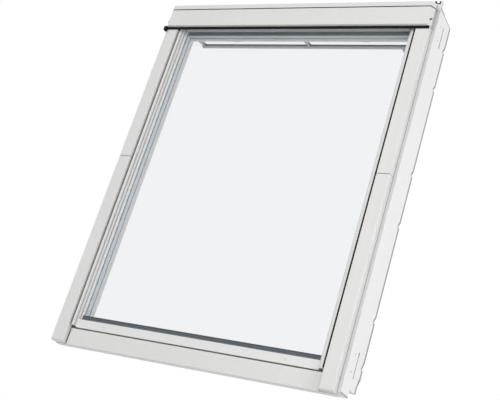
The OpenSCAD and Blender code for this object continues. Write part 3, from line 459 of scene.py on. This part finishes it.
# cells of about 0.7 mm
cells = add(tree, "ShaderNodeTexVoronoi", [("Vector", place.outputs["Object"])], Scale=1500.0)
cell_tone = add(tree, "ShaderNodeMix", [("Factor", cells.outputs["Distance"])], data_type="RGBA",
                A=linear("#F6F6F6"), B=linear("#ECEDED"))
tape = add(tree, "ShaderNodeBsdfPrincipled", [("Base Color", cell_tone.outputs["Result"])],
           Roughness=0.8)
add(tree, "ShaderNodeOutputMaterial", [("Surface", tape.outputs["BSDF"])])
paint(foam, "glazing_tape")

# Stepped glazing covers clamp the unit on all four sides, folded from the same coated sheet as
# the hood. Their copy of the coat is painted brighter as painted highlight, and the painted shade
# in the steps darker.
lit_cover_coat = lacquer.copy()
lit_cover_coat.name = "wiped_powder_coat_on_aluminium"
for node, socket, value in ((coat_tone, "A", linear("#E0E0DF")),
                            (coat_tone, "B", linear("#ECECEB")),
                            (fold_shade, "To Min", 1.0), (fold_shade, "From Max", 0.9),
                            (fold_shaded, "B", linear("#505152"))):
    lit_cover_coat.node_tree.nodes[node.name].inputs[socket].default_value = value
paint(lit_cover_coat, "glazing_cover_left", "glazing_cover_right", "glazing_cover_top",
      "glazing_cover_bottom")

# A grey weather strip with two ribs closes the glass against the lower glazing cover.
# It is extruded and clipped under the cover, and wears dull and patchy.
strip, tree = new_material("grey_ribbed_weather_strip")
place = add(tree, "ShaderNodeTexCoord")
# worn patches of about 11 mm
wear = add(tree, "ShaderNodeTexNoise", [("Vector", place.outputs["Object"])],
           Scale=90.0, Detail=3.0)
worn = add(tree, "ShaderNodeMix", [("Factor", wear.outputs["Fac"])], data_type="RGBA",
           A=linear("#5C6267"), B=linear("#6E7579"))
# the upper rib, 4 mm high, is darker
strip_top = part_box("sill_strip_gasket")[1][2]
dark_from, dark_full = strip_top - 0.0045, strip_top - 0.0035
spot = add(tree, "ShaderNodeSeparateXYZ", [("Vector", place.outputs["Object"])])
upper_dark = add(tree, "ShaderNodeMapRange", [("Value", spot.outputs["Z"])],
          From_Min=dark_from, From_Max=dark_full)
ribs = add(tree, "ShaderNodeMix", [("Factor", upper_dark.outputs["Result"]),
                                   ("A", worn.outputs["Result"])],
           data_type="RGBA", B=linear("#474D51"))
soft = add(tree, "ShaderNodeBsdfPrincipled", [("Base Color", ribs.outputs["Result"])],
           Roughness=0.6)
add(tree, "ShaderNodeOutputMaterial", [("Surface", soft.outputs["BSDF"])])
paint(strip, "sill_strip_gasket")

# Hinge tracks, shoes, striker, latch and bolt are pressed or turned steel, zinc plated.
# The plating is bright with a fine uneven brushing.
steel, tree = new_material("zinc_plated_steel")
place = add(tree, "ShaderNodeTexCoord")
# brushing of about 1.5 mm and spangle of about 6 mm
brush = add(tree, "ShaderNodeTexNoise", [("Vector", place.outputs["Object"])],
            Scale=700.0, Detail=2.0)
polish = add(tree, "ShaderNodeMapRange", [("Value", brush.outputs["Fac"])],
             To_Min=0.25, To_Max=0.45)
spangle = add(tree, "ShaderNodeTexVoronoi", [("Vector", place.outputs["Object"])], Scale=160.0)
plating = add(tree, "ShaderNodeMix", [("Factor", spangle.outputs["Distance"])], data_type="RGBA",
              A=linear("#B9BCBF"), B=linear("#C8CBCD"))
plate = add(tree, "ShaderNodeBsdfPrincipled", [("Base Color", plating.outputs["Result"]),
                                               ("Roughness", polish.outputs["Result"])],
            Metallic=1.0)
add(tree, "ShaderNodeOutputMaterial", [("Surface", plate.outputs["BSDF"])])
paint(steel, "hinge_track_left", "hinge_track_right", "hinge_shoe_left", "hinge_shoe_right",
      "striker_plate", "latch_tongue", "barrel_bolt")


# Cross-headed pan screws hold tracks, shoes and covers. Each stands where its solid is,
# a cold-formed head with a cross recess over a threaded shank. No two crosses line up.
def turned_part(name, profile, sides):
    """A closed mesh turned from a profile of (radius, height) that starts and ends on the axis."""
    made = bmesh.new()
    rings = []
    for radius, height in profile[1:-1]:
        turns = [Matrix.Rotation(4 * quarter * k / sides, 3, "Z") for k in range(sides)]
        rings.append([made.verts.new(turn @ Vector((radius, 0, height))) for turn in turns])
    foot = made.verts.new((0, 0, profile[0][1]))
    tip = made.verts.new((0, 0, profile[-1][1]))
    for k in range(sides):
        n = (k + 1) % sides
        made.faces.new((foot, rings[0][n], rings[0][k]))
        made.faces.new((tip, rings[-1][k], rings[-1][n]))
        for lower, upper in zip(rings, rings[1:]):
            made.faces.new((lower[k], lower[n], upper[n], upper[k]))
    return meshed(name, made)


# the head and shank are patterns of radius 1 and length 1, scaled to each screw
pan_profile = [(0, 0), (1, 0), (1, 0.4), (0.92, 0.66), (0.72, 0.9), (0.5, 1), (0, 1)]
head_sides, shank_sides, thread_steps, thread_root = 24, 10, 18, 0.8
# the punch for the recess: half its reach and its height at the mouth and at the floor
punch_mouth, punch_floor, wing_width = (0.62, 1.2), (0.34, 0.3), 0.24
blank = placed("pan_head_blank", turned_part("pan_head_blank", pan_profile, head_sides))
punch = bmesh.new()
for turn in (0, quarter):
    for corner in bmesh.ops.create_cube(punch, size=1)["verts"]:
        reach, height = punch_mouth if corner.co.z > 0 else punch_floor
        wedge = Vector((corner.co.x * 2 * reach, corner.co.y * wing_width, height))
        corner.co = Matrix.Rotation(turn, 3, "Z") @ wedge
cutter = placed("punch", meshed("punch", punch))
cut = blank.modifiers.new("recess", "BOOLEAN")
cut.operation = "DIFFERENCE"
cut.solver = "EXACT"
cut.use_self = True
cut.object = cutter
pan_head = placed("pan_head", bpy.data.meshes.new_from_object(
    blank.evaluated_get(bpy.context.evaluated_depsgraph_get())))
thread = [(1.0 if k % 2 else thread_root, k / thread_steps - 1) for k in range(1, thread_steps)]
shank = placed("threaded_shank",
               turned_part("threaded_shank", [(0, -1)] + thread + [(0, 0)], shank_sides))

driven = bpy.data.node_groups.new("screws_in_place", "GeometryNodeTree")
driven.interface.new_socket("Geometry", in_out="OUTPUT", socket_type="NodeSocketGeometry")
for label, kind in (("Geometry", "NodeSocketGeometry"), ("Head", "NodeSocketObject"),
                    ("Shank", "NodeSocketObject"), ("Finish", "NodeSocketMaterial"),
                    ("Largest Turn", "NodeSocketFloat")):
    driven.interface.new_socket(label, in_out="INPUT", socket_type=kind)
given = add(driven, "NodeGroupInput")
outward = add(driven, "GeometryNodeInputNamedAttribute", [("Name", "outward")],
              data_type="FLOAT_VECTOR")
upright = add(driven, "FunctionNodeAlignRotationToVector",
              [("Vector", outward.outputs["Attribute"])], axis="Z")
twist = add(driven, "FunctionNodeRandomValue", data_type="FLOAT", Seed=7)
# this node has sockets of one name for several kinds of value
largest = [s for s in twist.inputs if s.name == "Max" and s.type == "VALUE"][0]
drawn_turn = [s for s in twist.outputs if s.type == "VALUE"][0]
driven.links.new(given.outputs["Largest Turn"], largest)
about = add(driven, "ShaderNodeCombineXYZ", [("Z", drawn_turn)])
spin = add(driven, "FunctionNodeEulerToRotation", [("Euler", about.outputs["Vector"])])
stand = add(driven, "FunctionNodeRotateRotation",
            [("Rotation", upright.outputs["Rotation"]), ("Rotate By", spin.outputs["Rotation"])],
            rotation_space="LOCAL")
joined = add(driven, "GeometryNodeJoinGeometry")
for part_name, size_name in (("Head", "head_size"), ("Shank", "shank_size")):
    size = add(driven, "GeometryNodeInputNamedAttribute", [("Name", size_name)],
               data_type="FLOAT_VECTOR")
    pattern = add(driven, "GeometryNodeObjectInfo", [("Object", given.outputs[part_name])])
    set_in = add(driven, "GeometryNodeInstanceOnPoints", [
        ("Points", given.outputs["Geometry"]), ("Instance", pattern.outputs["Geometry"]),
        ("Rotation", stand.outputs["Rotation"]), ("Scale", size.outputs["Attribute"])])
    driven.links.new(set_in.outputs["Instances"], joined.inputs["Geometry"])
whole = add(driven, "GeometryNodeRealizeInstances", [("Geometry", joined.outputs["Geometry"])])
dressed = add(driven, "GeometryNodeSetMaterial", [("Geometry", whole.outputs["Geometry"]),
                                                  ("Material", given.outputs["Finish"])])
add(driven, "NodeGroupOutput", [("Geometry", dressed.outputs["Geometry"])])


def screw_facts(name):
    """For each screw solid of a node: its seat, outward axis, head size and shank size."""
    same_point, rim_share, past_seat = 1e-6, 0.95, 1e-5
    solid = bmesh.new()
    solid.from_mesh(nodes[name].data)
    bmesh.ops.remove_doubles(solid, verts=solid.verts, dist=same_point)
    waiting = set(solid.verts)
    facts = []
    while waiting:
        island, reached = [], [waiting.pop()]
        while reached:
            v = reached.pop()
            island.append(v.co.copy())
            for e in v.link_edges:
                n = e.other_vert(v)
                if n in waiting:
                    waiting.remove(n)
                    reached.append(n)
        low = Vector([min(p[i] for p in island) for i in range(3)])
        high = Vector([max(p[i] for p in island) for i in range(3)])
        span = high - low
        # the axis is the way whose span differs from the two equal ones
        axis = max(range(3), key=lambda i: min(abs(span[i] - span[j]) for j in range(3) if j != i))
        middle = (low + high) / 2
        off = [Vector([0 if i == axis else p[i] - middle[i] for i in range(3)]).length
               for p in island]
        head_r = max(off)
        head = [p[axis] for p, r in zip(island, off) if r > rim_share * head_r]
        sign = 1 if sum(head) / len(head) > middle[axis] else -1
        seat = min(head, key=lambda c: c * sign)
        shank_r = max(r for p, r in zip(island, off) if (seat - p[axis]) * sign > past_seat)
        tip = low[axis] if sign > 0 else high[axis]
        middle[axis] = seat
        facts.append((middle, Vector([sign if i == axis else 0 for i in range(3)]),
                      (head_r, head_r, max(head) - min(head)),
                      (shank_r, shank_r, abs(seat - tip))))
    solid.free()
    return facts


def screws(name, body, coating, slot_name, *names):
    """One piece of screws on a body that stands for these nodes."""
    facts = [f for n in names for f in screw_facts(n)]
    points = bpy.data.meshes.new(name)
    points.from_pydata([f[0] for f in facts], [], [])
    for label, column in (("outward", 1), ("head_size", 2), ("shank_size", 3)):
        given_values = points.attributes.new(label, "FLOAT_VECTOR", "POINT")
        for value, fact in zip(given_values.data, facts):
            value.vector = fact[column]
    made = grown(name, points, driven, **{"Head": pan_head, "Shank": shank, "Finish": coating,
                                          "Largest Turn": quarter})
    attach(made, body)
    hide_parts(*names)


screws("frame_screws", "frame", steel, "steel",
       "hinge_track_screws", "upper_cover_screws", "sill_cover_screws")
screws("sash_screws", "sash", steel, "steel", "hinge_shoe_screws", "lower_cover_screws")
screws("coated_screws", "sash", lacquer, "lacquered_sheet", "glazing_cover_screws")
for pattern in (blank, cutter, pan_head, shank):
    bpy.data.objects.remove(pattern)

# The vent flap is a white moulding on two grey clips. Its control bar is a drawn aluminium
# bar on three arms, satin anodised, with fine lines along its length and grey end caps.
paint(white, "vent_flap")
satin, tree = new_material("satin_anodised_aluminium")
place = add(tree, "ShaderNodeTexCoord")
# drawing lines about 1.5 mm apart, a third of a metre long
drawn = add(tree, "ShaderNodeMapping", [("Vector", place.outputs["Object"]),
                                        ("Scale", (3.0, 650.0, 650.0))])
lines = add(tree, "ShaderNodeTexNoise", [("Vector", drawn.outputs["Vector"])],
            Scale=1.0, Detail=2.0)
oxide = add(tree, "ShaderNodeMix", [("Factor", lines.outputs["Fac"])], data_type="RGBA",
            A=linear("#BBBFC2"), B=linear("#C7CACD"))
# painted shade: the bar darkens upward from its lower edge, near black from three quarters of its
# height, where its top lies in shadow
bar_low, bar_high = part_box("control_bar")
full_shade_from = bar_low[2] + 0.75 * (bar_high[2] - bar_low[2])
spot = add(tree, "ShaderNodeSeparateXYZ", [("Vector", place.outputs["Object"])])
upward_shade = add(tree, "ShaderNodeMapRange", [("Value", spot.outputs["Z"])],
              From_Min=bar_low[2], From_Max=full_shade_from)
shaded_bar = add(tree, "ShaderNodeMix", [("Factor", upward_shade.outputs["Result"]),
                                      ("A", oxide.outputs["Result"])],
              data_type="RGBA", B=linear("#15181B"))
bump = add(tree, "ShaderNodeBump", [("Height", lines.outputs["Fac"])],
           Strength=0.06, Distance=0.0002)
metal = add(tree, "ShaderNodeBsdfPrincipled", [("Base Color", shaded_bar.outputs["Result"]),
                                               ("Normal", bump.outputs["Normal"])],
            Metallic=0.55, Roughness=0.38)
add(tree, "ShaderNodeOutputMaterial", [("Surface", metal.outputs["BSDF"])])
paint(satin, "control_bar", "bar_arm_left", "bar_arm_centre", "bar_arm_right")

# Clips, bar caps, bolt bushes and bolt housing are small grey nylon mouldings.
# Spark-eroded moulds leave an even matt texture of about 1 mm.
nylon, tree = new_material("grey_moulded_nylon")
place = add(tree, "ShaderNodeTexCoord")
speck = add(tree, "ShaderNodeTexNoise", [("Vector", place.outputs["Object"])], Scale=800.0)
fleck = add(tree, "ShaderNodeMix", [("Factor", speck.outputs["Fac"])], data_type="RGBA",
            A=linear("#969A9E"), B=linear("#A4A8AC"))
bump = add(tree, "ShaderNodeBump", [("Height", speck.outputs["Fac"])],
           Strength=0.1, Distance=0.0002)
mould = add(tree, "ShaderNodeBsdfPrincipled", [("Base Color", fleck.outputs["Result"]),
                                               ("Normal", bump.outputs["Normal"])], Roughness=0.5)
add(tree, "ShaderNodeOutputMaterial", [("Surface", mould.outputs["BSDF"])])
paint(nylon, "bar_cap_left", "bar_cap_right", "flap_clip_left", "flap_clip_right",
      "bolt_bush_upper", "bolt_bush_lower", "bolt_housing")

# The studio has a pale matt floor well below the window, in metres.
# The camera sees it nearly white, with a faint shadow.
floor_z, floor_size, floor_glow = -1.45, 12, 0.7
bpy.ops.mesh.primitive_plane_add(size=floor_size, location=(0, 0, floor_z))
floor = bpy.context.object
floor.name = "floor"
pale, tree = new_material("pale_matt_floor")
matt = add(tree, "ShaderNodeBsdfPrincipled", Base_Color=linear("#EDEDED"), Roughness=0.9)
lit = add(tree, "ShaderNodeEmission", Color=linear("#F4F4F4"), Strength=1.0)
path = add(tree, "ShaderNodeLightPath")
paleness = add(tree, "ShaderNodeMath", [(0, path.outputs["Is Camera Ray"]), (1, floor_glow)],
               operation="MULTIPLY")
shown = add(tree, "ShaderNodeMixShader", [("Fac", paleness.outputs["Value"]),
                                          (1, matt.outputs["BSDF"]),
                                          (2, lit.outputs["Emission"])])
add(tree, "ShaderNodeOutputMaterial", [("Surface", shown.outputs["Shader"])])
floor.data.materials.append(pale)

# The background is white where it is seen, also through glass and mirrored in it.
# Elsewhere it gives a low even light.
world = bpy.data.worlds.new("white_studio")
bpy.context.scene.world = world
world.use_nodes = True
tree = world.node_tree
tree.nodes.clear()
path = add(tree, "ShaderNodeLightPath")
direct = add(tree, "ShaderNodeMath", [(0, path.outputs["Is Camera Ray"]),
                                      (1, path.outputs["Is Transmission Ray"])],
             operation="MAXIMUM")
seen = add(tree, "ShaderNodeMath", [(0, direct.outputs["Value"]),
                                    (1, path.outputs["Is Glossy Ray"])], operation="MAXIMUM")
ambient = add(tree, "ShaderNodeBackground", Color=linear("#FFFFFF"), Strength=0.29)
clear = add(tree, "ShaderNodeBackground", Color=linear("#FFFFFF"), Strength=1.0)
back = add(tree, "ShaderNodeMixShader", [("Fac", seen.outputs["Value"]),
                                         (1, ambient.outputs["Background"]),
                                         (2, clear.outputs["Background"])])
add(tree, "ShaderNodeOutputWorld", [("Surface", back.outputs["Shader"])])


# Soft lights: a far key on the left, a near one in front on the right, a tall one beside the
# right jamb, a fill in the room and one behind on the left.
def area(name, spot, aim, wide, high, power):
    """A rectangular light at a spot, aimed at a point, in metres and watts."""
    lamp = bpy.data.lights.new(name, "AREA")
    lamp.shape = "RECTANGLE"
    lamp.size = wide
    lamp.size_y = high
    lamp.energy = power
    made = placed(name, lamp)
    made.location = spot
    made.rotation_euler = (Vector(aim) - Vector(spot)).to_track_quat("-Z", "Y").to_euler()
    made.visible_glossy = False


area("key_left", (-3.0, -5.4, 3.0), (0, 0, 0), 2.6, 2.6, 193)
area("front_right", (1.5, -1.9, 0.2), (0.2, 0, 0), 1.2, 1.6, 13)
area("side_right", (2.0, -0.6, 0.0), (0.39, 0, 0), 0.6, 2.4, 16)
area("room_fill", (1.6, 2.4, 0.6), (0, 0, 0), 2.0, 2.0, 29)
area("back_left", (-2.4, 2.4, 0.8), (-0.2, 0, 0), 2.2, 2.2, 48)

# The camera stands at the photograph's angle: below, to the right and outside.
# Its place, its axes and its lens were fitted to the four sides of the frame.
view_from = Vector((1.24925, -1.94908, -0.97739))
ahead = Vector((-0.490449, 0.793983, 0.359238))
right = Vector((0.868002, 0.408323, 0.282569))
lens_px, photo_w = 1027.91, 500
camera = placed("camera", bpy.data.cameras.new("camera"))
camera.data.sensor_width = 36
camera.data.lens = lens_px / photo_w * camera.data.sensor_width
basis = Matrix((right, right.cross(ahead), -ahead)).transposed()
camera.matrix_world = Matrix.Translation(view_from) @ basis.to_4x4()
bpy.context.scene.camera = camera
bpy.context.scene.view_settings.view_transform = "Standard"
